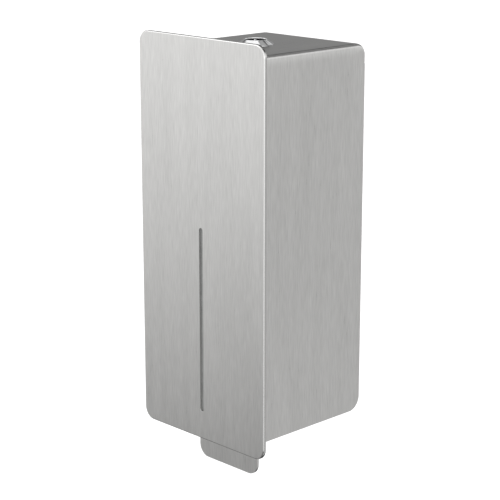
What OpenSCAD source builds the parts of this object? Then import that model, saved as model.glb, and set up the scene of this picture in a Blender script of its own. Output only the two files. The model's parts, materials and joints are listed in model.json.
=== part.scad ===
// Wall mounted soap dispenser. A brushed steel cover, with a broad front plate,
// tilts forward off a wall chassis that carries a one litre tank, a push-up
// pump and the push lever whose tab hangs below the plate.
// Origin: on the wall plane, at the middle of the four wall screws.
// X to the right, the front faces -Y, Z up. Millimetres.

/* [Front plate] */
// Width of the front plate
plate_w = 134.5; // [126:0.5:150]
// Height of the front plate
plate_h = 310; // [305:1:325]
// Thickness of the front plate
plate_t = 2.5; // [2:0.1:3]
// Corner radius of the front plate
plate_r = 9.5; // [4:0.5:14]
// Width of the level sight slot
slot_w = 4; // [3:0.5:6]
// Length of the level sight slot
slot_h = 145; // [100:1:170]
// Height of the slot's lower end above the plate's lower edge
slot_lift = 22.5; // [20:0.5:30]

/* [Hood] */
// Outside width of the hood behind the plate
hood_w = 103; // [102:0.5:110]
// Distance from the plate's front face to the wall
depth = 123.4; // [122.4:0.2:126]
// How far the hood's top lies below the plate's upper edge
hood_top_gap = 10.3; // [8:0.1:12]
// How far the hood's lower edge lies above the plate's lower edge
hood_low_gap = 6.8; // [5:0.1:7.2]
// Sheet thickness of the hood
hood_t = 1.2; // [1:0.1:1.4]
// Outside bend radius between the hood's top and sides
bend_r = 3; // [1.5:0.1:3]
// Radius of the hood's upper rear corner
rear_top_r = 8; // [6:0.5:11]
// Radius of the hood's lower rear corner
rear_low_r = 11; // [6:0.5:14]

/* [Push lever] */
// Width of the push tab
tab_w = 65; // [62:1:70]
// How far the tab hangs below the plate's lower edge
tab_drop = 29.7; // [24:0.1:36]
// Distance of the tab's face behind the plate's front face
tab_back = 27.3; // [27.3:0.1:28]
// Radius of the tab's lower corners
tab_r = 9.5; // [4:0.5:12]

/* [Wall screws] */
// Spacing of the wall screws across
screw_x = 60; // [50:1:64]
// Spacing of the wall screws up the wall
screw_z = 140; // [136:1:145]
// Diameter of the wall screw holes
screw_d = 5.5; // [4.5:0.1:6]

/* [Hidden] */
$fn = 64;
e = 1;                       // overrun of a cut past the face that it opens
run_fit = 0.05;              // radial clearance of a turning or sliding fit

// The plate's front face is "behind 0" and its lower edge is "above 0".
function behind(d) = d - depth;
function above(h) = h - plate_h / 2;

plate_back = behind(plate_t);
hood_top = plate_h / 2 - hood_top_gap;
hood_low = above(hood_low_gap);
hood_rear = -0.8;            // the hood stops just short of the wall
hood_in = hood_w / 2 - hood_t;
hood_return = 15;            // height of the lip that closes the top's rear edge
flange_w = 10;               // flange that fastens the hood to the plate
flange_low = above(34);
stud_x = hood_w / 2 - hood_t - flange_w / 2;
stud_z = [above(50), 0, above(262)];
stud_r = 1.5;
stud_l = 7;
nut_h = 2.4;

// Cover hinge
hinge_y = behind(13);
hinge_z = above(12);
hinge_r = 2.5;
ear_r = 4.5;
cheek_x = 40;                // inner face of the chassis' side cheeks
sheet_t = 2;                 // chassis sheet
hinge_ear_x = cheek_x + sheet_t + 0.4;

// Lock
lock_y = behind(57);
barrel_r = 8.2;
rim_h = 4;                   // height of the collar round the key's recess
plug_r = 6.3;
barrel_low = hood_top - 14;
plug_low = hood_top - 14.7;
cam_t = 2.5;
cam_w = 12;
cam_l = 20;
cam_square = 7;

// Chassis
wall_plate_t = 2;
wall_plate_w = 94;
wall_plate_low = above(30);
wall_plate_top = above(282);
chassis_y = -wall_plate_t;
shelf_z = above(58);
shelf_front = behind(12);
lip_h = 10;
catch_z = above(279);
catch_w = 48;
catch_gap = 22;
catch_front = lock_y - cam_w / 2 - 0.8 - sheet_t;

// Tank
pump_y = behind(62);
tank_w = 80;
tank_d = 84;
tank_h = 182;
tank_r = 6;
tank_t = 2;
tank_top = shelf_z + tank_h;
neck_r = 17;
neck_low = above(49);
neck_in = 14.5;
filler_w = 60;
filler_d = 24;
filler_y = pump_y - tank_d / 2 + 4 + filler_d / 2;
lid_t = 2.5;
lid_w = filler_w + 6;
lid_front = filler_y - filler_d / 2 - 3;
lid_pin_y = filler_y + filler_d / 2 + 6;
lid_pin_z = tank_top + 3.2;
lid_pin_r = 1.5;
lug_h = 5.7;

// Pump
body_r = 12;
bore_r = 9;
body_low = above(37);
body_top = above(80);
chamber_top = above(74);
stem_r = 6;
collar_low = above(20);
collar_t = 3;
collar_r = 18;
head_low = above(43.3);
head_h = 6;
guide_h = 6;
spring_wire = 1.4;
spring_r = 10.4;
spring_turns = 4;

// Lever
lever_t = 2;
tab_y = behind(tab_back);
pivot_y = behind(36);
pivot_z = above(30);
pivot_r = 3;
arm_x = 29;                  // inner face of the lever's arms
bush_r = 4.5;
shoe_r = 4;
shoe_z = collar_low - 0.3 - shoe_r;
shoe_pin_r = 2;
arm_turn = atan2(shoe_z - pivot_z, pump_y - pivot_y);
arm_reach = norm([pump_y - pivot_y, shoe_z - pivot_z]);

steel = "#bcbcb8";
zinc = "#a9adae";
chrome = "#dcdee0";
natural = "#e6e8e4";
white = "#f1f1ee";
black = "#2a2a2c";

// A drawing in X and Z, made t thick towards +Y from y.
module upright(y, t) {
    translate([0, y + t, 0]) rotate([90, 0, 0]) linear_extrude(t) children();
}

// A drawing in Y and Z, made t thick towards +X from x.
module sideways(x, t) {
    translate([x, 0, 0]) rotate([90, 0, 90]) linear_extrude(t) children();
}

module round_rect(w, h, r) {
    square([w - 2 * r, h], center = true);
    square([w, h - 2 * r], center = true);
    for (sx = [-1, 1], sy = [-1, 1])
        translate([sx * (w / 2 - r), sy * (h / 2 - r)]) circle(r);
}

module rod_x(r, x0, x1, y, z) {
    translate([x0, y, z]) rotate([0, 90, 0]) cylinder(r = r, h = x1 - x0);
}

module rod_y(r, y0, y1, x, z) {
    translate([x, y1, z]) rotate([90, 0, 0]) cylinder(r = r, h = y1 - y0);
}

module rod_z(r, z0, z1, x = 0, y = 0) {
    translate([x, y, z0]) cylinder(r = r, h = z1 - z0);
}

module both_sides() {
    children();
    mirror([1, 0, 0]) children();
}

// A pan head screw that points towards +Y, with a cross recess; y is its seat.
module pan_screw(x, y, z, r, head_r, head_h, l) {
    difference() {
        union() {
            rod_y(head_r, y - head_h, y, x, z);
            rod_y(r, y - e, y + l, x, z);
        }
        for (turn = [0, 90])
            translate([x, y - head_h, z]) rotate([0, turn, 0])
                cube([head_r * 1.1, head_h, head_r * 0.3], center = true);
    }
}

// ---- Cover ----

module front_plate() {
    color(steel) upright(behind(0), plate_t) difference() {
        round_rect(plate_w, plate_h, plate_r);
        for (z = [slot_w / 2, slot_h - slot_w / 2])
            translate([0, above(slot_lift) + z]) circle(d = slot_w);
        translate([-slot_w / 2, above(slot_lift) + slot_w / 2]) square([slot_w, slot_h - slot_w]);
    }
}

// Side outline of the hood in Y and Z, inset all round by inset.
module hood_side(inset) {
    top = hood_top - inset;
    rear = hood_rear - inset;
    r_top = rear_top_r - inset;
    r_low = rear_low_r - inset;
    difference() {
        translate([plate_back, hood_low]) square([rear - plate_back, top - hood_low]);
        translate([rear - r_top, top - r_top]) difference() {
            square(r_top + e);
            circle(r_top);
        }
        translate([rear - r_low, hood_low + r_low]) difference() {
            translate([0, -r_low - e]) square(r_low + e);
            circle(r_low);
        }
    }
}

// Front outline of the hood in X and Z, with its two bent upper edges.
module hood_section(inset) {
    half = hood_w / 2 - inset;
    r = bend_r - inset;
    top = hood_top - inset;
    translate([-half, hood_low - e]) square([2 * half, top - r - hood_low + e]);
    translate([r - half, hood_low]) square([2 * (half - r), top - hood_low]);
    for (side = [-1, 1])
        translate([side * (half - r), top - r]) circle(r);
}

module hood_solid(inset) {
    intersection() {
        sideways(-hood_w / 2, hood_w) hood_side(inset);
        upright(plate_back, -plate_back) hood_section(inset);
    }
}

module cover_shell() {
    front = plate_back + hood_t;
    color(steel) difference() {
        hood_solid(0);
        // Room inside, behind the front flanges
        intersection() {
            translate([0, hood_t, 0]) hood_solid(hood_t);
            translate([-hood_w, front, hood_low - e]) cube([2 * hood_w, depth, plate_h]);
        }
        // Open bottom and open rear below the return
        translate([-hood_in, front, hood_low - e])
            cube([2 * hood_in, depth, 40]);
        translate([-hood_in, -30, hood_low - e])
            cube([2 * hood_in, 40, hood_top - hood_return - hood_low + e]);
        // Front opening between the flanges
        translate([flange_w - hood_in, plate_back - e, hood_low - e])
            cube([2 * (hood_in - flange_w), hood_t + 2 * e, hood_top - hood_t - flange_w - hood_low + e]);
        translate([-hood_in, plate_back - e, hood_low - e])
            cube([2 * hood_in, hood_t + 2 * e, flange_low - hood_low + e]);
        both_sides() for (z = stud_z)
            rod_y(stud_r + 0.2, plate_back - e, front + e, stud_x, z);
        rod_z(barrel_r + run_fit, hood_top - hood_t - e, hood_top + e, 0, lock_y);
    }
}

window_w = 14;
window_h = slot_h + 16;
window_t = 2;
window_mid = above(slot_lift) + slot_h / 2;

module sight_window() {
    color("#5d6160", 0.75) upright(plate_back, window_t)
        translate([0, window_mid]) round_rect(window_w, window_h, 3);
}

// Four sprung clips, spot welded to the plate, hold the window down.
module window_clips() {
    clip_l = 12;
    foot = 6;
    color(zinc) both_sides() for (z = [-1, 1])
        sideways_clip(window_mid + z * (window_h / 2 - clip_l), clip_l, foot);
}

module sideways_clip(z, l, foot) {
    t = 0.6;
    x0 = window_w / 2 + 0.3;
    translate([0, 0, z - l / 2]) linear_extrude(l) {
        translate([x0, plate_back]) square([foot, t]);
        translate([x0, plate_back]) square([t, window_t + t]);
        translate([x0 - 3, plate_back + window_t]) square([3 + t, t]);
    }
}

module plate_studs() {
    color(zinc) both_sides() for (z = stud_z)
        rod_y(stud_r, plate_back, plate_back + stud_l, stud_x, z);
}

module plate_nuts() {
    seat = plate_back + hood_t;
    color(zinc) both_sides() for (z = stud_z) {
        difference() {
            translate([stud_x, seat + nut_h, z]) rotate([90, 0, 0]) cylinder(d = 6.35, h = nut_h, $fn = 6);
            rod_y(stud_r, seat - e, seat + nut_h + e, stud_x, z);
        }
    }
}

module hinge_brackets() {
    foot_t = 2;
    low = hood_low + 1.2;
    color(zinc) both_sides() difference() {
        union() {
            translate([hinge_ear_x, plate_back, low]) cube([7.4, foot_t, above(30) - low]);
            sideways(hinge_ear_x, sheet_t) {
                translate([plate_back, hinge_z - ear_r]) square([hinge_y - plate_back, 2 * ear_r]);
                translate([plate_back, hinge_z]) square([5, above(28) - hinge_z]);
                translate([hinge_y, hinge_z]) circle(ear_r);
            }
        }
        rod_x(hinge_r, cheek_x, hood_in, hinge_y, hinge_z);
    }
}

module hinge_pins() {
    head_t = 2;
    tip = cheek_x - 1.6;
    color(chrome) both_sides() difference() {
        union() {
            rod_x(hinge_r, tip, hinge_ear_x + sheet_t, hinge_y, hinge_z);
            rod_x(4, hinge_ear_x + sheet_t, hinge_ear_x + sheet_t + head_t, hinge_y, hinge_z);
        }
        difference() {
            rod_x(hinge_r + e, cheek_x - 0.9, cheek_x - 0.2, hinge_y, hinge_z);
            rod_x(hinge_r - 0.5, cheek_x - 2, cheek_x, hinge_y, hinge_z);
        }
    }
}

module hinge_clips() {
    color(black) both_sides() e_clip(cheek_x - 0.85, 0.6, hinge_r - 0.5, ear_r, hinge_y, hinge_z);
}

// A retaining clip on a shaft along X: a ring with an open mouth below.
module e_clip(x, t, r_in, r_out, y, z) {
    sideways(x, t) translate([y, z]) difference() {
        circle(r_out);
        circle(r_in);
        translate([-r_in * 0.7, -r_out - e]) square([r_in * 1.4, r_out + e]);
    }
}

// ---- Lock ----

// Cone on the hood's top; the lock lies sunk inside its rim.
module lock_collar() {
    base_r = 13.8;
    base_h = 0.5;
    rim_r = 9.1;
    color(chrome) translate([0, lock_y, hood_top]) difference() {
        union() {
            cylinder(r = base_r, h = base_h);
            translate([0, 0, base_h]) cylinder(r1 = base_r, r2 = rim_r, h = rim_h - base_h);
        }
        translate([0, 0, -e]) cylinder(r = barrel_r, h = rim_h + 2 * e);
    }
}

module lock_barrel() {
    top = hood_top + 1.2;
    color(chrome) difference() {
        rod_z(barrel_r, barrel_low, top, 0, lock_y);
        rod_z(plug_r + run_fit, barrel_low - e, top + e, 0, lock_y);
    }
}

module lock_nut() {
    top = hood_top - hood_t;
    color(zinc) difference() {
        translate([0, lock_y, top - 5]) cylinder(d = 25.4, h = 5, $fn = 6);
        rod_z(barrel_r, top - 5 - e, top + e, 0, lock_y);
    }
}

module lock_plug() {
    face = hood_top + 0.7;
    slot_deep = 3;
    color(chrome) {
        difference() {
            union() {
                rod_z(plug_r, plug_low, face, 0, lock_y);
                translate([-cam_square / 2, lock_y - cam_square / 2, plug_low - cam_t])
                    cube([cam_square, cam_square, cam_t + e]);
            }
            // Slot that the tubular key's lugs enter
            translate([-4.6, lock_y - 0.8, face - slot_deep]) cube([9.2, 1.6, slot_deep + e]);
            // Thread for the cam screw
            rod_z(2, plug_low - cam_t - e, plug_low + 5, 0, lock_y);
        }
        // Pin that the key's tube passes over
        rod_z(1, face - slot_deep - e, hood_top + rim_h - 0.2, 0, lock_y);
    }
}

module lock_cam() {
    color(zinc) translate([0, lock_y, plug_low - cam_t]) linear_extrude(cam_t) difference() {
        union() {
            circle(r = cam_w / 2);
            translate([-cam_w / 2, 0]) square([cam_w, cam_l]);
        }
        square(cam_square, center = true);
    }
}

module cam_screw() {
    seat = plug_low - cam_t;
    color(zinc) difference() {
        union() {
            rod_z(4.6, seat - 2.4, seat, 0, lock_y);
            rod_z(2, seat - e, seat + 6, 0, lock_y);
        }
        for (turn = [0, 90])
            translate([0, lock_y, seat - 2.4]) rotate([0, 0, turn]) cube([5, 1.2, 2], center = true);
    }
}

// ---- Chassis ----

module wall_plate() {
    h = wall_plate_top - wall_plate_low;
    color(zinc) upright(-wall_plate_t, wall_plate_t) difference() {
        translate([0, wall_plate_low + h / 2]) round_rect(wall_plate_w, h, 8);
        for (sx = [-1, 1], sz = [-1, 1])
            translate([sx * screw_x / 2, sz * screw_z / 2]) circle(d = screw_d);
        for (p = concat(catch_holes, bracket_holes, support_holes))
            translate(p) circle(r = fixing_r);
    }
}

fixing_r = 2;
catch_holes = [[-15, catch_z - 18], [15, catch_z - 18]];
bracket_holes = [[-33, shelf_z + 9], [33, shelf_z + 9], [-12, shelf_z + 9], [12, shelf_z + 9]];
support_z = above(205);
support_t = 1.5;
support_holes = [[-16, support_z], [16, support_z]];

// Fork that the lock's cam turns behind; its screw head passes down the slot.
module top_catch() {
    lip_top = catch_z + 6.5;
    slot_r = 7.5;
    flange_h = 29;
    color(zinc) difference() {
        union() {
            translate([-catch_w / 2, catch_front, catch_z - sheet_t])
                cube([catch_w, chassis_y - catch_front, sheet_t]);
            translate([-catch_w / 2, catch_front, catch_z - sheet_t])
                cube([catch_w, sheet_t, lip_top - catch_z + sheet_t]);
            translate([-catch_w / 2, chassis_y - sheet_t, catch_z - flange_h])
                cube([catch_w, sheet_t, flange_h]);
            both_sides() translate([catch_w / 2 - sheet_t, lock_y, catch_z - 9])
                cube([sheet_t, chassis_y - lock_y, 9]);
        }
        // Gap that the cam passes through when it points to the wall
        translate([-catch_gap / 2, catch_front - e, catch_z])
            cube([catch_gap, sheet_t + 2 * e, lip_top]);
        translate([-slot_r, catch_front - e, catch_z - 4 * sheet_t])
            cube([2 * slot_r, lock_y - catch_front + e, 8 * sheet_t]);
        rod_z(slot_r, catch_z - 4 * sheet_t, catch_z + sheet_t, 0, lock_y);
        for (p = catch_holes)
            rod_y(fixing_r, chassis_y - 2 * sheet_t, chassis_y + e, p[0], p[1]);
    }
}

module catch_screws() {
    color(chrome) for (p = catch_holes)
        pan_screw(p[0], chassis_y - sheet_t, p[1], fixing_r, 3.8, 2.6, sheet_t + wall_plate_t);
}

// Side outline of a cheek of the pump bracket in Y and Z.
module cheek_side() {
    low = above(9);
    translate([hinge_y, hinge_z]) circle(ear_r);
    polygon([[hinge_y - ear_r, hinge_z], [hinge_y, hinge_z - ear_r], [behind(84), low],
        [chassis_y, above(34)], [chassis_y, shelf_z], [shelf_front, shelf_z],
        [shelf_front, above(40)], [hinge_y - ear_r, above(24)]]);
}

module pump_bracket() {
    w = 2 * (cheek_x + sheet_t);
    color(zinc) difference() {
        union() {
            translate([-w / 2, shelf_front, shelf_z - sheet_t]) cube([w, chassis_y - shelf_front, sheet_t]);
            translate([-w / 2, shelf_front, shelf_z - sheet_t]) cube([w, sheet_t, lip_h + sheet_t]);
            translate([-w / 2, chassis_y - sheet_t, shelf_z - sheet_t]) cube([w, sheet_t, 18 + sheet_t]);
            both_sides() sideways(cheek_x, sheet_t) cheek_side();
        }
        rod_z(neck_r + 2, shelf_z - 2 * sheet_t, shelf_z + e, 0, pump_y);
        rod_x(hinge_r + run_fit, -w, w, hinge_y, hinge_z);
        rod_x(pivot_r, -w, w, pivot_y, pivot_z);
        for (p = bracket_holes)
            rod_y(fixing_r, chassis_y - 2 * sheet_t, chassis_y + e, p[0], p[1]);
        both_sides() rod_y(buffer_stem_r, shelf_front - e, shelf_front + sheet_t + e, buffer_x, buffer_z);
    }
}

module bracket_screws() {
    color(chrome) for (p = bracket_holes)
        pan_screw(p[0], chassis_y - sheet_t, p[1], fixing_r, 3.8, 2.6, sheet_t + wall_plate_t);
}

buffer_x = 33;
buffer_z = shelf_z + 5;
buffer_stem_r = 2;

// Rubber push-in buffers that the closed front plate comes to rest on.
module cover_buffers() {
    tip = plate_back + 0.3;
    color(black) both_sides() {
        rod_y(4.5, tip + 1, shelf_front, buffer_x, buffer_z);
        rod_y(3.5, tip, tip + 1 + e, buffer_x, buffer_z);
        rod_y(buffer_stem_r, shelf_front - e, shelf_front + sheet_t + e, buffer_x, buffer_z);
        rod_y(2.8, shelf_front + sheet_t, shelf_front + sheet_t + 1.5, buffer_x, buffer_z);
    }
}

// Saddle that keeps the tank off the wall: base, two legs and two pads.
module tank_support() {
    h = 24;
    rear = pump_y + tank_d / 2 + 0.3;
    pad = 12;
    half = 32;
    color(zinc) difference() {
        translate([0, 0, support_z - h / 2]) linear_extrude(h) {
            translate([-half, chassis_y - support_t]) square([2 * half, support_t]);
            both_sides() translate([half - support_t, rear]) square([support_t, chassis_y - rear]);
            both_sides() translate([half - pad, rear]) square([pad, support_t]);
        }
        for (p = support_holes)
            rod_y(fixing_r, chassis_y - 3, chassis_y + e, p[0], p[1]);
    }
}

module support_screws() {
    color(chrome) for (p = support_holes)
        pan_screw(p[0], chassis_y - support_t, p[1], fixing_r, 3.8, 2.6, support_t + wall_plate_t);
}

// ---- Tank ----

module soap_tank() {
    wall = 2 * tank_t;
    color(natural, 0.8) difference() {
        union() {
            translate([0, pump_y, shelf_z]) linear_extrude(tank_h) round_rect(tank_w, tank_d, tank_r);
            // Lugs for the lid's pin
            both_sides() translate([17, lid_pin_y - 3, tank_top - e]) cube([5, 6, lug_h + e]);
        }
        translate([0, pump_y, shelf_z + tank_t]) linear_extrude(tank_h - wall)
            round_rect(tank_w - wall, tank_d - wall, tank_r - tank_t);
        rod_z(neck_r, shelf_z - e, shelf_z + wall, 0, pump_y);
        translate([0, filler_y, tank_top - wall]) linear_extrude(3 * tank_t)
            round_rect(filler_w, filler_d, 5);
        rod_x(lid_pin_r, -30, 30, lid_pin_y, lid_pin_z);
    }
}

// Threaded outlet, welded into the tank's floor, that carries the pump.
module tank_neck() {
    floor_z = shelf_z + tank_t;
    color(natural, 0.8) difference() {
        union() {
            rod_z(neck_r, neck_low, floor_z, 0, pump_y);
            rod_z(neck_r + 4, floor_z, floor_z + 1.5, 0, pump_y);
        }
        rod_z(neck_in, neck_low - e, floor_z + 2, 0, pump_y);
    }
}

module lid_pin() {
    color(chrome) rod_x(lid_pin_r, -22.5, 22.5, lid_pin_y, lid_pin_z);
}

module tank_lid() {
    rear = lid_pin_y - 4.5;
    low = tank_top + 0.3;
    skirt_h = 2.5;
    color(white) difference() {
        union() {
            translate([0, (lid_front + rear) / 2, low]) linear_extrude(lid_t)
                round_rect(lid_w, rear - lid_front, 4);
            translate([0, filler_y, low - skirt_h]) linear_extrude(skirt_h + e) difference() {
                round_rect(filler_w - 2.4, filler_d - 2.4, 4);
                round_rect(filler_w - 5.4, filler_d - 5.4, 2.5);
            }
            // Knuckle on the pin, between the tank's lugs
            translate([-16.5, rear - 2, low]) cube([33, lid_pin_y - rear + 2, lid_t]);
            rod_x(2.9, -16.5, 16.5, lid_pin_y, lid_pin_z);
            // Finger lip
            translate([-10, lid_front - 2.5, low]) cube([20, 4, lid_t]);
        }
        rod_x(lid_pin_r + run_fit, -17.5, 17.5, lid_pin_y, lid_pin_z);
    }
}

module tank_seal() {
    color(black) translate([0, pump_y, neck_low - 1.5]) linear_extrude(1.5) difference() {
        circle(neck_r);
        circle(neck_in);
    }
}

// ---- Pump ----

module pump_nut() {
    low = neck_low - 6;
    outer = 22;
    color(white) difference() {
        union() {
            rod_z(outer, low, shelf_z - sheet_t, 0, pump_y);
            for (turn = [0:30:330])
                translate([0, pump_y, 0]) rotate(turn) rod_z(1.6, low, shelf_z - sheet_t - 2, outer, 0);
        }
        rod_z(neck_r + 0.05, low + 2.5, shelf_z, 0, pump_y);
        rod_z(body_r + 0.2, low - e, shelf_z, 0, pump_y);
    }
}

module pump_body() {
    flange_top = neck_low - 1.5;
    color(white) difference() {
        union() {
            rod_z(body_r, body_low, body_top, 0, pump_y);
            rod_z(neck_r - 0.1, flange_top - 2, flange_top, 0, pump_y);
        }
        rod_z(bore_r, body_low - e, chamber_top, 0, pump_y);
        rod_z(1.6, chamber_top - e, body_top + e, 0, pump_y);
        for (turn = [45:90:315])
            translate([0, pump_y, 0]) rotate(turn) rod_z(2, chamber_top - e, body_top + e, 5, 0);
    }
}

module guide_bush() {
    color(black) difference() {
        rod_z(bore_r, body_low, body_low + guide_h, 0, pump_y);
        rod_z(stem_r + run_fit, body_low - e, body_low + guide_h + e, 0, pump_y);
    }
}

module inlet_valve() {
    color(black) {
        rod_z(7.8, chamber_top - 1.4, chamber_top, 0, pump_y);
        rod_z(1.55, chamber_top - e, body_top + e, 0, pump_y);
        rod_z(2.4, body_top, body_top + 2, 0, pump_y);
    }
}

// One ring of the spring's wire at turn t, counted from the lower end.
function spring_ring(t, z) = [for (k = [0:7])
    let (across = spring_wire / 2 * cos(45 * k), up = spring_wire / 2 * sin(45 * k))
    [(spring_r + across) * cos(360 * t), (spring_r + across) * sin(360 * t), z + up]];

module return_spring() {
    low = collar_low + collar_t + spring_wire / 2;
    high = body_low - spring_wire / 2;
    steps = 16 * spring_turns;
    points = [for (i = [0:steps])
        each spring_ring(i * spring_turns / steps, low + (high - low) * i / steps)];
    sides = [for (i = [0:steps - 1], k = [0:7])
        [8 * i + k, 8 * i + 8 + k, 8 * i + 8 + (k + 1) % 8, 8 * i + (k + 1) % 8]];
    color(zinc) translate([0, pump_y, 0])
        polyhedron(points, concat(sides, [[for (k = [0:7]) k]], [[for (k = [7:-1:0]) 8 * steps + k]]));
}

module plunger() {
    spigot_r = 8;
    spigot_low = above(3);
    channel_r = 2.5;
    color(white) difference() {
        union() {
            rod_z(spigot_r, spigot_low, collar_low + e, 0, pump_y);
            rod_z(collar_r, collar_low, collar_low + collar_t, 0, pump_y);
            rod_z(stem_r, collar_low, head_low + e, 0, pump_y);
            rod_z(bore_r - 0.6, head_low, head_low + head_h, 0, pump_y);
        }
        rod_z(channel_r, spigot_low - e, head_low + head_h + e, 0, pump_y);
        difference() {
            rod_z(bore_r, head_low + 2, head_low + 4, 0, pump_y);
            rod_z(bore_r - 2, head_low + e, head_low + 5, 0, pump_y);
        }
    }
}

module piston_seal() {
    color(black) difference() {
        rod_z(bore_r - 0.07, head_low + 2, head_low + 4, 0, pump_y);
        rod_z(bore_r - 2, head_low, head_low + head_h, 0, pump_y);
    }
}

module nozzle_tip() {
    sleeve_top = above(10);
    shoulder = above(3);
    low = above(-4);
    color("#cfd2d2") difference() {
        union() {
            rod_z(9.4, shoulder, sleeve_top, 0, pump_y);
            translate([0, pump_y, low]) cylinder(r1 = 4, r2 = 9.4, h = shoulder - low);
        }
        rod_z(8, shoulder, sleeve_top + e, 0, pump_y);
        rod_z(1.5, low - e, shoulder + e, 0, pump_y);
    }
}

// ---- Push lever ----

module push_lever() {
    top = above(40);
    low = above(-tab_drop);
    mid = (top + low) / 2;
    arm_w = 12;
    color(steel) difference() {
        union() {
            upright(tab_y, lever_t) translate([0, mid]) round_rect(tab_w, top - low, tab_r);
            both_sides() sideways(arm_x, lever_t) {
                translate([tab_y, pivot_z - 8]) square([pivot_y - tab_y, 16]);
                translate([pivot_y, pivot_z]) circle(8);
                translate([pivot_y, pivot_z]) rotate(arm_turn)
                    translate([0, -arm_w / 2]) square([arm_reach, arm_w]);
                translate([pump_y, shoe_z]) circle(arm_w / 2);
            }
        }
        both_sides() rod_x(bush_r, arm_x - e, arm_x + lever_t + e, pivot_y, pivot_z);
        both_sides() rod_x(shoe_pin_r, arm_x - e, arm_x + lever_t + e, pump_y, shoe_z);
    }
}

module lever_bushes() {
    color(black) both_sides() difference() {
        union() {
            rod_x(bush_r, arm_x - 0.5, arm_x + lever_t + e, pivot_y, pivot_z);
            rod_x(6, arm_x + lever_t, arm_x + lever_t + 8.6, pivot_y, pivot_z);
        }
        rod_x(pivot_r + run_fit, arm_x - 2, arm_x + 20, pivot_y, pivot_z);
    }
}

module lever_pin() {
    half = cheek_x + sheet_t + 2.2;
    groove = cheek_x + sheet_t + 0.1;
    color(chrome) difference() {
        rod_x(pivot_r, -half, half, pivot_y, pivot_z);
        both_sides() difference() {
            rod_x(pivot_r + e, groove, groove + 0.9, pivot_y, pivot_z);
            rod_x(pivot_r - 0.6, groove - e, groove + 2, pivot_y, pivot_z);
        }
    }
}

module pin_clips() {
    color(black) both_sides()
        e_clip(cheek_x + sheet_t + 0.15, 0.8, pivot_r - 0.6, 5.5, pivot_y, pivot_z);
}

module shoe_pins() {
    tip = 10.6;
    outside = arm_x + lever_t;
    color(chrome) both_sides() {
        rod_x(shoe_pin_r, tip, outside, pump_y, shoe_z);
        rod_x(3.4, outside, outside + 1.4, pump_y, shoe_z);
        rod_x(3, 18.2, 19.2, pump_y, shoe_z);
        rod_x(2.6, tip, tip + 0.6, pump_y, shoe_z);
    }
}

// Nylon shoes, pressed on their pins, that lift the plunger's collar.
module lift_shoes() {
    inside = 11.4;
    outside = 18;
    foot_h = 3;
    color(white) both_sides() difference() {
        union() {
            rod_x(shoe_r, inside, outside, pump_y, shoe_z);
            translate([inside, pump_y - shoe_r, shoe_z - foot_h])
                cube([outside - inside, 2 * shoe_r, foot_h]);
        }
        rod_x(shoe_pin_r, inside - e, outside + e, pump_y, shoe_z);
    }
}

front_plate();
cover_shell();
sight_window();
window_clips();
plate_studs();
plate_nuts();
hinge_brackets();
hinge_pins();
hinge_clips();
lock_collar();
lock_barrel();
lock_nut();
lock_plug();
lock_cam();
cam_screw();
wall_plate();
top_catch();
catch_screws();
pump_bracket();
bracket_screws();
cover_buffers();
tank_support();
support_screws();
soap_tank();
tank_neck();
lid_pin();
tank_lid();
tank_seal();
pump_nut();
pump_body();
guide_bush();
inlet_valve();
return_spring();
plunger();
piston_seal();
nozzle_tip();
push_lever();
lever_bushes();
lever_pin();
pin_clips();
shoe_pins();
lift_shoes();
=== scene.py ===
import json
import math

import bmesh
import bpy
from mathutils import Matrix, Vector


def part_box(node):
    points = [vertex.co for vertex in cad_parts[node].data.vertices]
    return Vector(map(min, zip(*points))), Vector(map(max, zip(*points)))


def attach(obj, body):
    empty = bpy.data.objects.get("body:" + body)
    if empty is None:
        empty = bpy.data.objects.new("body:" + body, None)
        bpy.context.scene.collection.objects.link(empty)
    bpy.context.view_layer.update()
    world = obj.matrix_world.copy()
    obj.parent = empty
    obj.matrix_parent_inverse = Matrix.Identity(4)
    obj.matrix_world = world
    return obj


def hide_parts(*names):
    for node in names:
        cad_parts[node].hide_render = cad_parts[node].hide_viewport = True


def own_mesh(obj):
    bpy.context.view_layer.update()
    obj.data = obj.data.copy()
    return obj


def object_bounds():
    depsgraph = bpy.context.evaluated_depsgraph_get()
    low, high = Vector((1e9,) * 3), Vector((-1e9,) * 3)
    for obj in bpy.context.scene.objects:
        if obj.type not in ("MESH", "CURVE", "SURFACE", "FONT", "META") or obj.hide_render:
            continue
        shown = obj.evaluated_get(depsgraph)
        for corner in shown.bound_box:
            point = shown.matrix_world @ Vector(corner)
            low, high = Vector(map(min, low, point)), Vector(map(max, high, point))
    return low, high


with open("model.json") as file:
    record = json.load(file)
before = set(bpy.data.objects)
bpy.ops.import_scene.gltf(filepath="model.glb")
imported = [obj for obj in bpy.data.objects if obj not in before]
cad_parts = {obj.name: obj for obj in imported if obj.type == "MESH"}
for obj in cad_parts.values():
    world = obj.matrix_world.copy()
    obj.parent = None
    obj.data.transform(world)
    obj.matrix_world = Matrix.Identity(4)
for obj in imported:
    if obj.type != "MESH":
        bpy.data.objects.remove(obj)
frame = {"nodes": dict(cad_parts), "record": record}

CAD_BOX = [list(corner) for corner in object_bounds()]
MM = 0.001
BODY_OF = {node: body for body, nodes in frame["record"]["behaviour"]["bodies"].items() for node in nodes}


# ---- Places from the frame, and sizes of the real object ----

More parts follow.
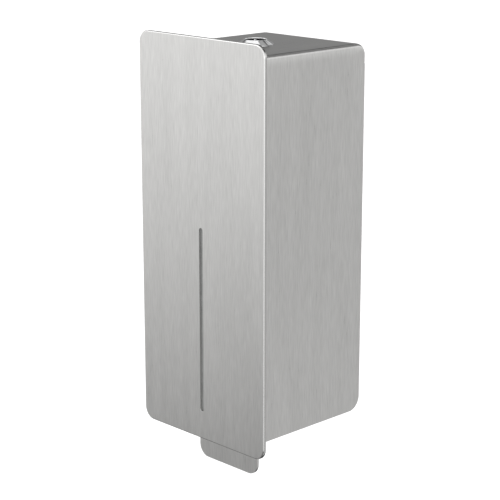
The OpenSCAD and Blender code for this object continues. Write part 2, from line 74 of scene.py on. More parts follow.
PLATE_LOW, PLATE_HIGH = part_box("front_plate")
HOOD_LOW, HOOD_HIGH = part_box("cover_shell")
WINDOW_LOW, WINDOW_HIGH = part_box("sight_window")
COLLAR_LOW, COLLAR_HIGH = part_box("lock_collar")
BARREL_LOW, BARREL_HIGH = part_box("lock_barrel")
SPRING_LOW, SPRING_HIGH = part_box("return_spring")
PLATE_CORNER = 9.5 * MM      # radius
PLATE_EASE = 0.9 * MM        # radius round the plate's front face; its faces are ground and painted lighter as a highlight
PLATE_BACK_EASE = 0.1 * MM   # radius round its back face
PLATE_FLAT = 0.98            # share along Y above which a normal belongs to a flat face of the plate
PLATE_CUT = 0.05             # share along Y below which it belongs to a cut edge
SLOT_WIDTH = 4 * MM
SLOT_LENGTH = 145 * MM
SLOT_MIDDLE = (WINDOW_LOW.z + WINDOW_HIGH.z) / 2
SLOT_EASE = 0.15 * MM        # radius round both ends of the slot's walls
SHEET = 1.2 * MM             # thickness of the hood's sheet
HOOD_BEND = 3 * MM           # outside radius between the top and the sides
HOOD_CROWN = 0.4 * MM        # how far the bend stands in from the flat of a side
HOOD_WELD = 0.5 * MM         # outside radius where the rear return meets the sides
HOOD_REAR_TOP = 8 * MM       # radius where the top bends down at the rear
HOOD_REAR_LOW = 11 * MM      # radius of the sides' lower rear corners
HOOD_RETURN = 15 * MM        # how far the top reaches down at the rear
HOOD_WELD_GAP = 0.4 * MM     # between the end of the return and the cut of the sides
HOOD_EASE = 0.25 * MM        # radius of the sheet's edges
HOOD_SIDE = 0.7              # share along X above which a bend's face is brushed like the side
FLANGE_WIDTH = 10 * MM
FLANGE_FOOT = 34 * MM        # height of the flanges' lower ends above the plate's lower edge
FLANGE_GAP = 0.5 * MM        # between the side flanges and the upper one
FLANGE_CORNER = 1.5 * MM     # radius
FLANGE_FRONT_EASE = 0.15 * MM
FLANGE_BACK_EASE = 0.25 * MM
COLLAR_RIM = 9.1 * MM        # outside radius at the top of the collar's cone
BARREL_WALL = 1.65 * MM
COLLAR_SHADE_REACH = 0.02 * MM      # how far beyond the collar's bore its faces painted dark as shade reach
BARREL_SHADE_REACH = 0.1 * MM       # the same for the barrel's bore
PIN_REACH = 1.1 * MM         # the plug's faces within this distance of its axis are the pin's
SPRING_WIRE = 0.7 * MM       # radius
SPRING_COILS = 4
FLOOR_DROP = 0.9             # metres from the dispenser's lowest point down to the floor
FLOOR_HALF = 40              # half the floor's side, in metres


# ---- Mesh helpers ----

WELD = 0.001 * MM        # vertices closer than this are one
FLAT_ANGLE = 0.6         # degrees between faces that are joined into one
SHARP_ANGLE = 40         # degrees between faces whose edge is rounded
SHEET_SHARP_ANGLE = 50   # the same for the hood's sheet
CRISP_ANGLE = 35         # degrees between faces that aren't shaded as one


def arc(centre, radius, start, end, steps):
    """Points on an arc of a circle, in degrees, both ends included."""
    turns = [math.radians(start + (end - start) * k / steps) for k in range(steps + 1)]
    return [(centre[0] + radius * math.cos(t), centre[1] + radius * math.sin(t)) for t in turns]


def round_rect(half_w, half_h, radius, steps):
    """A rectangle with round corners about the origin, as a closed loop of points."""
    points = []
    for k, (sx, sy) in enumerate([(1, 1), (-1, 1), (-1, -1), (1, -1)]):
        centre = (sx * (half_w - radius), sy * (half_h - radius))
        points += arc(centre, radius, 90 * k, 90 * k + 90, steps)
    return points


def rim(front, back, thickness, steps):
    """(inset, depth) pairs across a sheet's edge that is rounded by front and back radii."""
    turns = [math.pi / 2 * k / steps for k in range(steps + 1)]
    first = [(front * (1 - math.sin(t)), front * (1 - math.cos(t))) for t in turns]
    last = [(back * (1 - math.sin(t)), thickness - back * (1 - math.cos(t))) for t in reversed(turns)]
    return first + last


def new_piece(name, bm, body, material):
    """Turns a bmesh into a piece that rides on a body; edges sharper than CRISP_ANGLE stay crisp."""
    bmesh.ops.recalc_face_normals(bm, faces=bm.faces)
    limit = math.radians(CRISP_ANGLE)
    for face in bm.faces:
        face.smooth = True
    for edge in bm.edges:
        edge.smooth = edge.is_manifold and edge.calc_face_angle(math.pi) < limit
    mesh = bpy.data.meshes.new(name)
    bm.to_mesh(mesh)
    bm.free()
    piece = bpy.data.objects.new(name, mesh)
    bpy.context.scene.collection.objects.link(piece)
    mesh.materials.append(material)
    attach(piece, body)
    return piece


def weigh_normals(piece):
    """Flat faces keep flat shading next to rounded edges."""
    modifier = piece.modifiers.new("normals", "WEIGHTED_NORMAL")
    modifier.weight = 60
    modifier.keep_sharp = True


def ring(bm, points):
    """New vertices at points, in order round a closed loop."""
    return [bm.verts.new(point) for point in points]


def bridge(bm, first, second):
    """Faces between two rings of the same count."""
    count = len(first)
    for k in range(count):
        bm.faces.new((first[k], first[(k + 1) % count], second[(k + 1) % count], second[k]))


def loop_edges(bm, verts):
    """The edges of a closed loop of vertices, in order."""
    count = len(verts)
    return [bm.edges.get((verts[k], verts[(k + 1) % count])) for k in range(count)]


def sheet_bmesh(outline, holes, place, profile, hole_profile):
    """A flat sheet with rounded edges. outline(inset) and each hole(inset) give loops of points,
    and place(u, v, depth) puts a point of the drawing into the frame."""
    bm = bmesh.new()
    caps = [[], []]
    for loop_of, steps, sign in [(outline, profile, 1)] + [(hole, hole_profile, -1) for hole in holes]:
        rings = [ring(bm, [place(u, v, depth) for u, v in loop_of(sign * inset)]) for inset, depth in steps]
        for first, second in zip(rings, rings[1:]):
            bridge(bm, first, second)
        caps[0] += loop_edges(bm, rings[0])
        caps[1] += loop_edges(bm, rings[-1])
    for edges in caps:
        bmesh.ops.triangle_fill(bm, edges=edges, use_beauty=True)
    return bm


def lathe_bmesh(profile, centre, steps=96):
    """A closed profile of (radius, height) pairs turned about the Z axis through centre."""
    bm = bmesh.new()
    rings = []
    for k in range(steps):
        turn = 2 * math.pi * k / steps
        across, along = math.cos(turn), math.sin(turn)
        rings.append(ring(bm, [(centre.x + r * across, centre.y + r * along, z) for r, z in profile]))
    for k in range(steps):
        bridge(bm, rings[k], rings[(k + 1) % steps])
    return bm


def refine(node, radius, material):
    """Rebuilds a CAD node's shape as a piece with joined faces and edges rounded to radius."""
    bm = bmesh.new()
    bm.from_mesh(frame["nodes"][node].data)
    bmesh.ops.remove_doubles(bm, verts=bm.verts, dist=WELD)
    bmesh.ops.dissolve_limit(bm, angle_limit=math.radians(FLAT_ANGLE), verts=bm.verts, edges=bm.edges)
    limit = math.radians(SHARP_ANGLE)
    sharp = [edge for edge in bm.edges if edge.is_manifold and edge.calc_face_angle(0) > limit]
    bmesh.ops.bevel(bm, geom=sharp, offset=radius, segments=2, profile=0.6, affect="EDGES",
                    clamp_overlap=True)
    piece = new_piece(node + "_piece", bm, BODY_OF[node], material)
    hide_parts(node)
    weigh_normals(piece)


# ---- Materials ----

def add(tree, kind, inputs=(), **settings):
    """Adds a shader node; inputs maps a socket's name or number to a value or to another socket."""
    made = tree.nodes.new(kind)
    for key, value in settings.items():
        setattr(made, key, value)
    for key, value in dict(inputs).items():
        if isinstance(value, bpy.types.NodeSocket):
            tree.links.new(value, made.inputs[key])
        else:
            made.inputs[key].default_value = value
    return made


def start_material(name):
    """A material without nodes, and its node tree."""
    material = bpy.data.materials.new(name)
    material.use_nodes = True
    material.node_tree.nodes.clear()
    return material, material.node_tree


def end_material(material, tree, **inputs):
    """Closes a material with one principled shader whose sockets are named with underscores."""
    sockets = {key.replace("_", " "): value for key, value in inputs.items()}
    shader = add(tree, "ShaderNodeBsdfPrincipled", sockets)
    output = add(tree, "ShaderNodeOutputMaterial", {"Surface": shader.outputs[0]})
    output.is_active_output = True
    return material


def noise(tree, stretch, detail=2.0, offset=(0, 0, 0)):
    """Noise over the object's own coordinates, with stretch features per metre along X, Y and Z.
    Layers of one material have different offsets, so that they don't line up."""
    place = add(tree, "ShaderNodeTexCoord").outputs["Object"]
    mapped = add(tree, "ShaderNodeMapping", {"Vector": place, "Scale": stretch, "Location": offset})
    made = add(tree, "ShaderNodeTexNoise", {"Vector": mapped.outputs[0], "Scale": 1.0, "Detail": detail,
                                            "Roughness": 0.5})
    return made.outputs["Fac"]


def spread(tree, value, low, high, from_low=0.3, from_high=0.7):
    """Maps the range from_low to from_high to the range low to high. Most noise is 0.3 to 0.7."""
    made = add(tree, "ShaderNodeMapRange", {"Value": value, "From Min": from_low, "From Max": from_high,
                                            "To Min": low, "To Max": high})
    return made.outputs[0]


def blend_values(tree, first, second, share):
    """share of the first value and the rest of the second."""
    made = add(tree, "ShaderNodeMath", {0: first, 1: share}, operation="MULTIPLY")
    rest = add(tree, "ShaderNodeMath", {0: second, 1: 1 - share}, operation="MULTIPLY")
    return add(tree, "ShaderNodeMath", {0: made.outputs[0], 1: rest.outputs[0]}, operation="ADD").outputs[0]


def tinted(tree, share, dark, light):
    """A colour between dark and light by share."""
    made = add(tree, "ShaderNodeMix", {"Factor": share, 6: (*dark, 1), 7: (*light, 1)}, data_type="RGBA")
    return made.outputs[2]


def bump(tree, height, distance, strength, under=None):
    """The surface normal with a bump of that height, laid over the normal under."""
    inputs = {"Height": height, "Distance": distance, "Strength": strength}
    if under is not None:
        inputs["Normal"] = under
    return add(tree, "ShaderNodeBump", inputs).outputs[0]


def brushed(name, colour, along, rough, contrast=0.13):
    """Brushed steel whose scratches run along one axis. Strokes and finer hair lie over wide bands,
    and the colour goes up and down by contrast."""
    material, tree = start_material(name)

    def scratches(width, length, detail, offset=(0, 0, 0)):
        stretch = [1 / width] * 3
        stretch[along] = 1 / length
        return noise(tree, stretch, detail, offset)

    strokes = scratches(0.9 * MM, 13 * MM, 2.0)
    hair = scratches(0.3 * MM, 9 * MM, 1.0, (5, 3, 1))
    bands = scratches(9 * MM, 120 * MM, 1.0, (2, 7, 4))
    worn = blend_values(tree, blend_values(tree, strokes, hair, 0.6), bands, 0.8)
    dark = [c * (1 - contrast) for c in colour]
    light = [c * (1 + contrast) for c in colour]
    base = tinted(tree, spread(tree, worn, 0, 1), dark, light)
    roughness = spread(tree, worn, rough - 0.04, rough + 0.04)
    coarse = bump(tree, strokes, 0.004 * MM, 0.5)
    normal = bump(tree, hair, 0.002 * MM, 0.5, coarse)
    return end_material(material, tree, Base_Color=base, Metallic=1.0, Roughness=roughness, Normal=normal)


def plated(name, dark, light, rough, spangle=260):
    """Zinc, nickel or chrome plate with a faint cloudy finish; spangle is cells per metre."""
    material, tree = start_material(name)
    cells = noise(tree, (spangle, spangle, spangle), detail=3.0)
    film = noise(tree, (45, 45, 45), detail=2.0, offset=(1, 4, 9))
    base = tinted(tree, spread(tree, blend_values(tree, cells, film, 0.5), 0, 1, 0.38, 0.62), dark, light)
    roughness = spread(tree, film, rough * 0.8, rough * 1.25)
    normal = bump(tree, cells, 0.012 * MM, 0.4)
    return end_material(material, tree, Base_Color=base, Metallic=1.0, Roughness=roughness, Normal=normal)


def moulded(name, dark, light, rough, grain=2400, depth=0.012, **more):
    """Moulded plastic or rubber with a fine grain and a slightly uneven colour; grain is cells per
    metre and depth is in millimetres."""
    material, tree = start_material(name)
    texture = noise(tree, (grain, grain, grain), detail=2.0)
    clouds = noise(tree, (55, 55, 55), detail=2.0, offset=(3, 1, 6))
    base = tinted(tree, spread(tree, clouds, 0, 1, 0.35, 0.65), dark, light)
    uneven = blend_values(tree, texture, clouds, 0.5)
    roughness = spread(tree, uneven, rough - 0.06, rough + 0.06, 0.35, 0.65)
    normal = bump(tree, texture, depth * MM, 0.5)
    return end_material(material, tree, Base_Color=base, Roughness=roughness, Normal=normal, **more)


STEEL = (0.60, 0.597, 0.587)
ALONG_X, ALONG_Y, ALONG_Z = 0, 1, 2
PLATE_STEEL = brushed("plate_brushed_steel", STEEL, ALONG_Z, 0.31)
# Painted highlight: the front rounding's steel is lighter than the plate's so that it shows as a white
# line; it is also ground smoother.
EDGE_HIGHLIGHT_STEEL = brushed("plate_edge_ground_painted_highlight_steel", (0.76, 0.758, 0.75), ALONG_Z, 0.16, 0.04)
# Partly painted shade: the cut edges' steel is darker than the plate's. It is a cut finish that also stands
# for the dark line along the plate's thin top edge.
CUT_EDGE_SHADE_STEEL = brushed("plate_cut_edge_painted_shade_steel", (0.52, 0.518, 0.512), ALONG_Y, 0.22, 0.06)
HOOD_STEEL = brushed("hood_brushed_steel", STEEL, ALONG_Z, 0.31)
HOOD_TOP_STEEL = brushed("hood_top_brushed_steel", STEEL, ALONG_Y, 0.31)
LEVER_STEEL = brushed("lever_brushed_steel", STEEL, ALONG_Z, 0.31)
# Painted shade: a dark colour on the bores and the plug stands for the shade inside the lock's recess.
LOCK_RECESS_SHADE = plated("lock_recess_painted_shade", (0.09, 0.09, 0.095), (0.13, 0.13, 0.135), 0.22, 400)
CHROME = plated("polished_chrome", (0.86, 0.865, 0.87), (0.91, 0.915, 0.92), 0.10, 400)
ZINC_SHEET = plated("zinc_sheet", (0.46, 0.48, 0.50), (0.60, 0.62, 0.64), 0.42)
ZINC_HARDWARE = plated("bright_zinc", (0.55, 0.56, 0.58), (0.68, 0.69, 0.71), 0.28, 500)
GROUND_STEEL = brushed("ground_pin_steel", (0.66, 0.66, 0.66), ALONG_X, 0.24, 0.04)
SPRING_STEEL = plated("drawn_spring_steel", (0.42, 0.42, 0.43), (0.56, 0.56, 0.57), 0.30, 700)
PHOSPHATE = moulded("black_phosphate", (0.030, 0.030, 0.033), (0.055, 0.055, 0.06), 0.42, 1800,
                    Metallic=0.6)
SMOKED = moulded("smoked_acrylic", (0.32, 0.325, 0.32), (0.37, 0.375, 0.37), 0.25, 3000, 0.002,
                 Coat_Weight=1.0)
TANK_PLASTIC = moulded("natural_polyethylene", (0.77, 0.785, 0.765), (0.84, 0.85, 0.83), 0.38,
                       900, 0.02, Transmission_Weight=0.45, IOR=1.5)
LID_PLASTIC = moulded("lid_polypropylene", (0.74, 0.75, 0.74), (0.82, 0.83, 0.82), 0.45)
PUMP_PLASTIC = moulded("pump_acetal_white", (0.78, 0.78, 0.77), (0.86, 0.86, 0.85), 0.34)
NYLON = moulded("natural_nylon", (0.78, 0.76, 0.69), (0.86, 0.84, 0.77), 0.40)
ACETAL_BLACK = moulded("black_acetal", (0.022, 0.022, 0.024), (0.034, 0.034, 0.036), 0.36)
RUBBER = moulded("black_rubber", (0.020, 0.020, 0.020), (0.034, 0.034, 0.034), 0.68, 1500, 0.03)
SILICONE = moulded("clear_silicone", (0.62, 0.65, 0.65), (0.72, 0.75, 0.75), 0.42, 1200, 0.015,
                   Transmission_Weight=0.4, IOR=1.41)


# ---- Cover ----

def front_plate():
    """The front plate with its slot: a ground rounding at the front, painted lighter as a highlight, and
    cut edges painted darker, partly as shade.
    """
    middle_x = (PLATE_LOW.x + PLATE_HIGH.x) / 2
    middle_z = (PLATE_LOW.z + PLATE_HIGH.z) / 2
    half_w = (PLATE_HIGH.x - PLATE_LOW.x) / 2
    half_h = (PLATE_HIGH.z - PLATE_LOW.z) / 2
    thickness = PLATE_HIGH.y - PLATE_LOW.y
    lift = SLOT_MIDDLE - middle_z

    def outline(inset):
        return round_rect(half_w - inset, half_h - inset, PLATE_CORNER - inset, 16)

    def slot(inset):
        half = SLOT_WIDTH / 2 - inset
        corner = half * 0.999        # just short of half, so that no two points coincide
        return [(u, v + lift) for u, v in round_rect(half, SLOT_LENGTH / 2 - inset, corner, 10)]

    def place(u, v, depth):
        return (middle_x + u, PLATE_LOW.y + depth, middle_z + v)

    bm = sheet_bmesh(outline, [slot], place, rim(PLATE_EASE, PLATE_BACK_EASE, thickness, 6),
                     rim(SLOT_EASE, SLOT_EASE, thickness, 2))
    bmesh.ops.recalc_face_normals(bm, faces=bm.faces)
    for face in bm.faces:
        share = abs(face.normal.y)
        at_front = face.calc_center_median().y < PLATE_LOW.y + PLATE_EASE
        # The front rounding takes the lighter steel, a painted highlight; the cut edges take the darker
        # steel, partly painted shade.
        face.material_index = 2 if share < PLATE_CUT else int(share < PLATE_FLAT and at_front)
    piece = new_piece("front_plate_piece", bm, "cover", PLATE_STEEL)
    piece.data.materials.append(EDGE_HIGHLIGHT_STEEL)
    # the darker cut-edge steel, partly painted shade
    piece.data.materials.append(CUT_EDGE_SHADE_STEEL)
    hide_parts("front_plate")
    weigh_normals(piece)


def hood():
    """The folded hood: a top that bends down at the rear, joined to flat sides by small bends."""
    half = (HOOD_HIGH.x - HOOD_LOW.x) / 2
    front, rear, top, low = HOOD_LOW.y, HOOD_HIGH.y, HOOD_HIGH.z, HOOD_LOW.z
    # Stations along the upper outline: (y, z, outward normal, bend radius)
    stations = [(front, top, (0, 1), HOOD_BEND)]
    corner_steps = 12
    for k in range(corner_steps + 1):
        turn = math.radians(90 - 90 * k / corner_steps)
        normal = (math.cos(turn), math.sin(turn))
        bend = HOOD_BEND + (HOOD_WELD - HOOD_BEND) * k / corner_steps
        stations.append((rear - HOOD_REAR_TOP + HOOD_REAR_TOP * normal[0],
                         top - HOOD_REAR_TOP + HOOD_REAR_TOP * normal[1], normal, bend))
    stations.append((rear, top - HOOD_RETURN, (1, 0), HOOD_WELD))

    def across(bend):
        """(x, how far in from the outline) from the left side over to the right side. The sheet is
        crowned a little below the bend, as folded sheet is."""
        bend_steps, crown_steps = 8, 4
        crown = HOOD_CROWN * (bend - HOOD_WELD) / (HOOD_BEND - HOOD_WELD)
        parts = [k / crown_steps for k in range(crown_steps)]
        below = [(crown * part * part - half, bend + 2 * bend * (1 - part)) for part in parts]
        turns = [math.pi / 2 * k / bend_steps for k in range(bend_steps + 1)]
        left = below + [(bend * (1 - math.cos(t)) - half + crown, bend * (1 - math.sin(t))) for t in turns]
        return left + [(-x, inset) for x, inset in reversed(left)]

    bm = bmesh.new()
    grid = [ring(bm, [(x, y - n[0] * inset, z - n[1] * inset) for x, inset in across(bend)])
            for y, z, n, bend in stations]
    over = set()
    for first, second in zip(grid, grid[1:]):
        for k in range(len(first) - 1):
            over.add(bm.faces.new((first[k], first[k + 1], second[k + 1], second[k])))
    corner = arc((rear - HOOD_REAR_LOW, low + HOOD_REAR_LOW), HOOD_REAR_LOW, 0, -90, corner_steps)
    for side, column in [(-1, 0), (1, -1)]:
        rest = [(rear, top - HOOD_RETURN - HOOD_WELD_GAP)] + corner + [(front, low)]
        bm.faces.new([row[column] for row in grid] + ring(bm, [(side * half, y, z) for y, z in rest]))
    bmesh.ops.recalc_face_normals(bm, faces=bm.faces)
    for face in bm.faces:
        face.material_index = int(face in over and abs(face.normal.x) < HOOD_SIDE)
    piece = new_piece("hood_piece", bm, "cover", HOOD_STEEL)
    piece.data.materials.append(HOOD_TOP_STEEL)
    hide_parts("cover_shell")
    solid = piece.modifiers.new("sheet", "SOLIDIFY")
    solid.thickness = SHEET
    solid.offset = -1
    solid.use_even_offset = True
    edge = piece.modifiers.new("edges", "BEVEL")
    edge.width = HOOD_EASE
    edge.segments = 2
    edge.limit_method = "ANGLE"
    edge.angle_limit = math.radians(SHEET_SHARP_ANGLE)
    weigh_normals(piece)


def hood_flanges():
    """The hood's inward flanges against the back of the plate."""
    half = FLANGE_WIDTH / 2
    inside = HOOD_HIGH.x - SHEET
    lowest = PLATE_LOW.z + FLANGE_FOOT
    highest = HOOD_HIGH.z - SHEET
    # Strips: (middle x, middle z, half width, half height)
    strips = [(side * (inside - half), (lowest + highest) / 2, half, (highest - lowest) / 2)
              for side in (-1, 1)]
    strips.append((0, highest - half, inside - FLANGE_WIDTH - FLANGE_GAP, half))
    for number, (x, z, half_w, half_h) in enumerate(strips, 1):
        def place(u, v, depth):
            return (x + u, HOOD_LOW.y + depth, z + v)

        def outline(inset):
            return round_rect(half_w - inset, half_h - inset, FLANGE_CORNER - inset, 4)

        edge = rim(FLANGE_FRONT_EASE, FLANGE_BACK_EASE, SHEET, 2)
        bm = sheet_bmesh(outline, [], place, edge, edge)
        weigh_normals(new_piece(f"hood_flange_{number}", bm, "cover", HOOD_STEEL))


def lock_head():
    """Conical collar round a recess whose walls are painted dark as shade, and the ring of the lock barrel
    at its foot.
    """
    centre = (COLLAR_LOW + COLLAR_HIGH) / 2
    base = (COLLAR_HIGH.x - COLLAR_LOW.x) / 2
    bottom, top = COLLAR_LOW.z, COLLAR_HIGH.z
    bore = (BARREL_HIGH.x - BARREL_LOW.x) / 2
    # Out along the foot, up the cone, over the rim, and down the polished band at the bore's mouth
    profile = [(bore, bottom), (base - 0.05 * MM, bottom), (base, bottom + 0.06 * MM),
               (base - 0.3 * MM, bottom + 0.7 * MM), (COLLAR_RIM + 0.1 * MM, top - 0.4 * MM),
               (COLLAR_RIM - 0.06 * MM, top - 0.12 * MM), (COLLAR_RIM - 0.25 * MM, top),
               (bore + 0.2 * MM, top), (bore + 0.1 * MM, top - 0.1 * MM),
               (bore + 0.06 * MM, top - 0.4 * MM), (bore, top - 0.46 * MM)]
    turned_piece("lock_collar", profile, centre, bore + COLLAR_SHADE_REACH)

    inner = bore - BARREL_WALL
    low, high = BARREL_LOW.z, BARREL_HIGH.z
    round_out, round_in = 0.5 * MM, 0.3 * MM
    outside = [(bore - round_out + r, high - round_out + z) for r, z in arc((0, 0), round_out, 0, 90, 5)]
    inside = [(inner + round_in + r, high - round_in + z) for r, z in arc((0, 0), round_in, 90, 180, 4)]
    profile = [(inner, low), (bore, low)] + outside + inside
    turned_piece("lock_barrel", profile, centre, inner + BARREL_SHADE_REACH)


def turned_piece(node, profile, centre, shade_r):
    """A chrome part turned about the lock's axis, painted dark as shade within the given radius of the
    axis.
    """
    bm = lathe_bmesh(profile, centre)
    for face in bm.faces:
        reach = face.calc_center_median() - centre
        # faces near the axis take the dark colour, painted shade for the recess
        face.material_index = int(math.hypot(reach.x, reach.y) < shade_r)
    piece = new_piece(node + "_piece", bm, "cover", CHROME)
    piece.data.materials.append(LOCK_RECESS_SHADE)
    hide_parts(node)
    weigh_normals(piece)


# ---- Everything else: the CAD shapes with rounded edges ----

# (node, edge radius in millimetres, material)
REFINED = [
    ("sight_window", 0.25, SMOKED), ("window_clips", 0.08, SPRING_STEEL),
    ("plate_studs", 0.2, ZINC_HARDWARE), ("plate_nuts", 0.25, ZINC_HARDWARE),
    ("hinge_brackets", 0.3, ZINC_SHEET), ("hinge_pins", 0.2, GROUND_STEEL),
    ("hinge_clips", 0.08, PHOSPHATE), ("lock_nut", 0.4, ZINC_HARDWARE),
    # the plug's dark colour is painted shade at the bottom of the lock's recess; its pin is made bright
    # below
    ("lock_plug", 0.12, LOCK_RECESS_SHADE), ("lock_cam", 0.3, ZINC_HARDWARE),
    ("cam_screw", 0.15, ZINC_HARDWARE), ("wall_plate", 0.3, ZINC_SHEET),
    ("top_catch", 0.3, ZINC_SHEET), ("catch_screws", 0.15, ZINC_HARDWARE),
    ("pump_bracket", 0.3, ZINC_SHEET), ("bracket_screws", 0.15, ZINC_HARDWARE),
    ("cover_buffers", 0.4, RUBBER), ("tank_support", 0.3, ZINC_SHEET),
    ("support_screws", 0.15, ZINC_HARDWARE), ("soap_tank", 0.8, TANK_PLASTIC),
    ("tank_neck", 0.3, TANK_PLASTIC), ("lid_pin", 0.2, GROUND_STEEL),
    ("tank_lid", 0.5, LID_PLASTIC), ("tank_seal", 0.2, RUBBER),
    ("pump_nut", 0.5, PUMP_PLASTIC), ("pump_body", 0.4, PUMP_PLASTIC),
    ("guide_bush", 0.2, ACETAL_BLACK), ("inlet_valve", 0.2, RUBBER),
    ("plunger", 0.4, PUMP_PLASTIC), ("piston_seal", 0.3, RUBBER),
    ("nozzle_tip", 0.4, SILICONE), ("push_lever", 0.4, LEVER_STEEL),
    ("lever_bushes", 0.2, ACETAL_BLACK), ("lever_pin", 0.25, GROUND_STEEL),
    ("pin_clips", 0.1, PHOSPHATE), ("shoe_pins", 0.2, GROUND_STEEL),
    ("lift_shoes", 0.4, NYLON),
]


def polish_pin():
    """Makes the plug's centre pin bright; the rest of the plug keeps the dark colour painted as the
    recess's shade.
    """
    plug = bpy.data.objects["lock_plug_piece"]
    plug.data.materials.append(CHROME)
    lock_axis = (BARREL_LOW + BARREL_HIGH) / 2
    for face in plug.data.polygons:
        corners = [plug.data.vertices[k].co - lock_axis for k in face.vertices]
        reach = max(math.hypot(corner.x, corner.y) for corner in corners)
        face.material_index = int(reach < PIN_REACH)


def spring():
    """The pump's return spring: a round wire wound on a helix and cut off square."""
    steps, sides = 48, 12
    middle = (SPRING_LOW + SPRING_HIGH) / 2
    radius = (SPRING_HIGH.x - SPRING_LOW.x) / 2 - SPRING_WIRE
    low = SPRING_LOW.z + SPRING_WIRE
    rise = SPRING_HIGH.z - SPRING_LOW.z - 2 * SPRING_WIRE
    section = arc((0, 0), SPRING_WIRE, 0, 360 - 360 / sides, sides - 1)
    bm = bmesh.new()
    rings = []
    for k in range(SPRING_COILS * steps + 1):
        turn = 2 * math.pi * k / steps
        z = low + rise * k / (SPRING_COILS * steps)
        rings.append(ring(bm, [(middle.x + (radius + across) * math.cos(turn),
                                middle.y + (radius + across) * math.sin(turn), z + up)
                               for across, up in section]))
    for first, second in zip(rings, rings[1:]):
        bridge(bm, first, second)
    for end in (rings[0], rings[-1]):
        bm.faces.new(end)
    piece = new_piece("return_spring_piece", bm, BODY_OF["return_spring"],
                      SPRING_STEEL)
    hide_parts("return_spring")
    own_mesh(piece)


front_plate()
hood()
hood_flanges()
lock_head()
for node_name, edge_radius, finish in REFINED:
    refine(node_name, edge_radius * MM, finish)
polish_pin()
spring()


# ---- Floor, light and camera ----

# The world's light rises with the direction's height, from LOW_LIGHT up to HORIZON_LIGHT.
LOW_HEIGHT, LOW_LIGHT = -0.515, 0.08
HORIZON_HEIGHT, HORIZON_LIGHT = -0.045, 1.78
SEEN_WHITE = 1.25            # what the camera itself sees
# Fields over that: (direction, cosine where it starts, cosine where it is full, brightness there).
# A later field lies over an earlier one. Each comment names what mirrors the field.
FIELDS = [
    ((0, 0, 1), 0.05, 0.40, 1.35),                 # sky: everything that faces up
    ((0, 0, -1), 0.62, 0.85, 0.60),                # ground: everything that faces down
    ((0.61, 0.61, -0.50), 0.76, 0.87, 0.86),       # the hood's side, low down
    ((-0.69, 0.67, 0.27), 0.60, 0.88, 0.38),       # the hood's top
    ((0.0, 0.67, 0.74), 0.72, 0.93, 0.10),         # the bends between the hood's top and sides
    ((-0.26, 0.67, -0.69), 0.77, 0.95, 0.01),      # the lower corners
    ((0.12, 0.48, 0.87), 0.965, 0.988, 0.50),      # the lock's cone, mid grey
    ((0, 0, 1), 0.94, 0.97, 1.4),                  # the lock's cone, white
    ((-0.03, 0.79, 0.61), 0.985, 0.994, 0.72),     # the lock's cone, light grey
    ((-0.22, 0.87, 0.43), 0.982, 0.995, 0.8),      # the lock's cone, light grey at its end
    ((0.69, -0.67, -0.26), 0.93, 0.98, 1.5),       # the plate's right edge, light
    ((-0.69, -0.30, 0.64), 0.90, 0.97, 1.5),       # the plate's upper edge, its white line
    ((-0.66, 0.38, 0.65), 0.950, 0.975, 0.12),     # the plate's upper edge, its dark line
    ((0.10, -0.15, -0.98), 0.88, 0.96, 0.03),      # the rounding of the plate's lower corner
]
# The camera that was fitted to the photo: degrees to the right of the plate's front and above it,
# metres from the plate's middle in the camera's own directions, and lens in millimetres.
CAMERA_AZIMUTH, CAMERA_ELEVATION = 45.81, 14.78
CAMERA_BACK, CAMERA_RIGHT, CAMERA_UP = 1.1758, 0.0368, -0.0041
CAMERA_LENS = 113.15


def floor():
    """A pale floor, as far below the dispenser as a washroom's floor is."""
    height, half = CAD_BOX[0][2] - FLOOR_DROP, FLOOR_HALF
    corners = [(-half, -half), (half, -half), (half, half), (-half, half)]
    bm = bmesh.new()
    bm.faces.new(ring(bm, [(x, y, height) for x, y in corners]))
    mesh = bpy.data.meshes.new("floor")
    bm.to_mesh(mesh)
    bm.free()
    ground = bpy.data.objects.new("floor", mesh)
    bpy.context.scene.collection.objects.link(ground)
    material, tree = start_material("pale_floor")
    end_material(material, tree, Base_Color=(0.85, 0.85, 0.85, 1), Roughness=0.9,
                 Emission_Color=(1, 1, 1, 1), Emission_Strength=0.5)
    mesh.materials.append(material)
    ground.visible_glossy = False


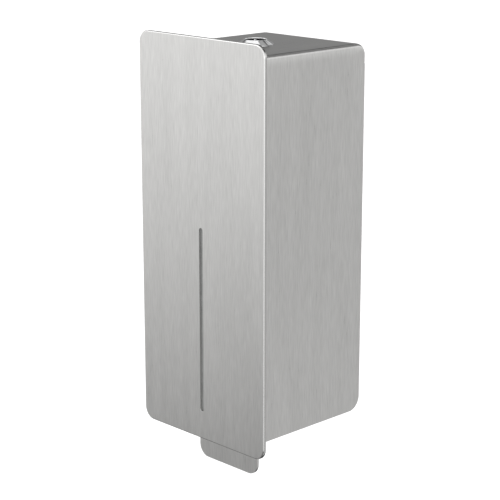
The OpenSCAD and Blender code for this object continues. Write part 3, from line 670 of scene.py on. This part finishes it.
def studio_world():
    """Soft light from all round, brightest at the horizon, with darker and lighter fields for the
    steel to mirror. The camera itself sees plain white."""
    world = bpy.data.worlds.new("studio")
    bpy.context.scene.world = world
    world.use_nodes = True
    tree = world.node_tree
    tree.nodes.clear()
    direction = add(tree, "ShaderNodeTexCoord").outputs["Generated"]
    height = add(tree, "ShaderNodeSeparateXYZ", {0: direction}).outputs["Z"]
    light = spread(tree, height, LOW_LIGHT, HORIZON_LIGHT, LOW_HEIGHT, HORIZON_HEIGHT)
    for toward, start, full, value in FIELDS:
        facing = add(tree, "ShaderNodeVectorMath", {0: direction, 1: Vector(toward).normalized()},
                     operation="DOT_PRODUCT").outputs["Value"]
        share = add(tree, "ShaderNodeMapRange", {"Value": facing, "From Min": start, "From Max": full,
                                                 "To Min": 0, "To Max": 1},
                    interpolation_type="SMOOTHSTEP")
        light = add(tree, "ShaderNodeMix", {"Factor": share.outputs[0], 2: light, 3: value},
                    data_type="FLOAT").outputs[0]
    camera_ray = add(tree, "ShaderNodeLightPath").outputs["Is Camera Ray"]
    seen = add(tree, "ShaderNodeMix", {"Factor": camera_ray, 2: light, 3: SEEN_WHITE}, data_type="FLOAT")
    background = add(tree, "ShaderNodeBackground", {"Strength": seen.outputs[0]})
    add(tree, "ShaderNodeOutputWorld", {"Surface": background.outputs[0]})


def softbox(name, place, target, size, power):
    """A rectangular area light at place that faces target."""
    data = bpy.data.lights.new(name, "AREA")
    data.shape = "RECTANGLE"
    data.size, data.size_y = size
    data.energy = power
    lamp = bpy.data.objects.new(name, data)
    bpy.context.scene.collection.objects.link(lamp)
    lamp.location = place
    lamp.rotation_euler = (Vector(target) - Vector(place)).to_track_quat("-Z", "Y").to_euler()
    lamp.visible_camera = False


def camera():
    """The photo's view of the dispenser: from the right front, and a little above."""
    azimuth, elevation = math.radians(CAMERA_AZIMUTH), math.radians(CAMERA_ELEVATION)
    back = Vector((math.sin(azimuth) * math.cos(elevation), -math.cos(azimuth) * math.cos(elevation),
                   math.sin(elevation)))
    right = Vector((math.cos(azimuth), math.sin(azimuth), 0))
    up = back.cross(right)
    plate_middle = Vector((0, PLATE_LOW.y, (PLATE_LOW.z + PLATE_HIGH.z) / 2))
    data = bpy.data.cameras.new("camera")
    data.sensor_width = 36
    data.lens = CAMERA_LENS
    view = bpy.data.objects.new("camera", data)
    bpy.context.scene.collection.objects.link(view)
    view.location = plate_middle + CAMERA_RIGHT * right + CAMERA_UP * up + CAMERA_BACK * back
    view.rotation_mode = "QUATERNION"
    view.rotation_quaternion = (-back).to_track_quat("-Z", "Y")
    bpy.context.scene.camera = view


floor()
studio_world()
softbox("key", place=(-1.6, -2.0, 1.6), target=(0, 0, 0), size=(1.6, 1.6), power=8)
camera()
bpy.context.scene.view_settings.view_transform = "Standard"
